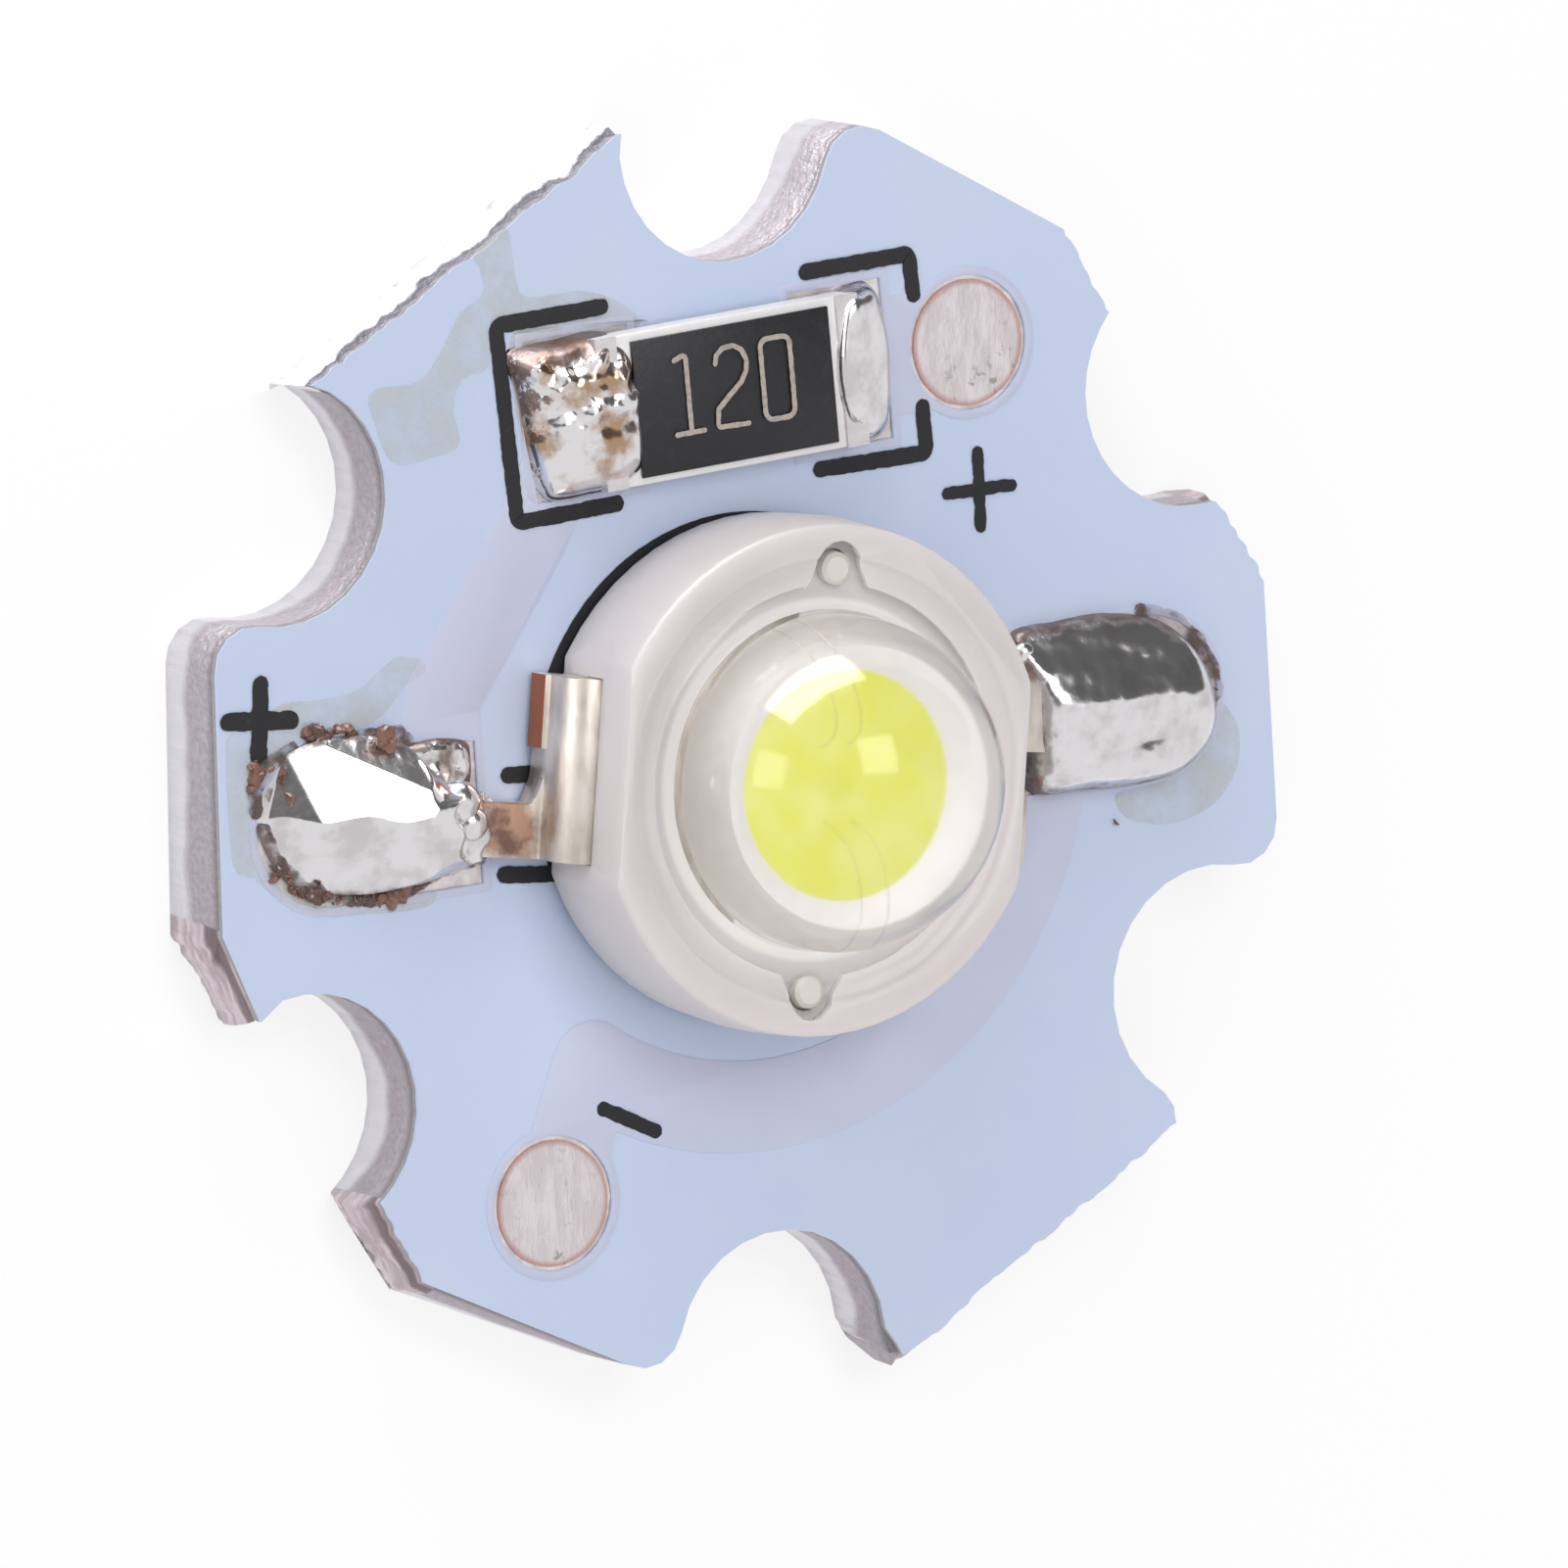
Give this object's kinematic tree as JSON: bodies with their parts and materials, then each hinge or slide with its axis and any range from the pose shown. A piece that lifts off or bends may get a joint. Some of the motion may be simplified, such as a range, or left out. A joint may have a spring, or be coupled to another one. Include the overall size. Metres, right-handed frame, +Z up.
{
  "type": "power led on star circuit board",
  "caption": "Domed white power LED on a star-shaped aluminium circuit board with a chip resistor, solder joints and round wire pads.",
  "frame": {"origin": "centre of the star on the underside of the aluminium base", "axes": "+Z up out of the LED's lens, X along the LED's leads, +Y towards the chip resistor"},
  "size_m": [0.02, 0.0217, 0.007],
  "materials": {
    "aluminium_base": "punched, bare",
    "dielectric": "filled resin",
    "copper_foil": "bare foil",
    "solder_mask": "pale cool white",
    "levelled_tin": "dull tin",
    "black_ink": "printed",
    "tinned_lead": "bright tin over copper alloy",
    "milky_plastic": "milky",
    "clear_lens": "clear",
    "silicone_gel": "clear",
    "thermal_bond": "filled paste",
    "plated_slug": "silver plate over copper",
    "led_die": "polished",
    "phosphor": "yellow fill",
    "gold_wire": "gold",
    "alumina": "white",
    "termination": "tinned",
    "resistive_film": "fired film",
    "black_coat": "satin black",
    "solder": "bright"
  },
  "bodies": {
    "root": {"base_plate": "aluminium_base", "dielectric_layer": "dielectric", "positive_trace": "copper_foil", "anode_trace": "copper_foil", "cathode_trace": "copper_foil", "thermal_land": "copper_foil", "solder_mask": "solder_mask", "positive_pad_tin": "levelled_tin", "negative_pad_tin": "levelled_tin", "ring_print": "black_ink", "left_bracket_print": "black_ink", "right_bracket_upper_print": "black_ink", "right_bracket_lower_print": "black_ink", "left_lead": "tinned_lead", "right_lead": "tinned_lead", "led_body": "milky_plastic", "lens": "clear_lens", "silicone_gel": "silicone_gel", "thermal_bond": "thermal_bond", "heat_slug": "plated_slug", "led_die": "led_die", "phosphor": "phosphor", "left_bond_wire_1": "gold_wire", "left_bond_wire_2": "gold_wire", "right_bond_wire_1": "gold_wire", "right_bond_wire_2": "gold_wire", "resistor_substrate": "alumina", "left_termination": "termination", "right_termination": "termination", "resistive_film": "resistive_film", "resistor_coat": "black_coat", "left_lead_joint": "solder", "right_lead_joint": "solder", "left_resistor_joint": "solder", "right_resistor_joint": "solder"}
  },
  "joints": []
}
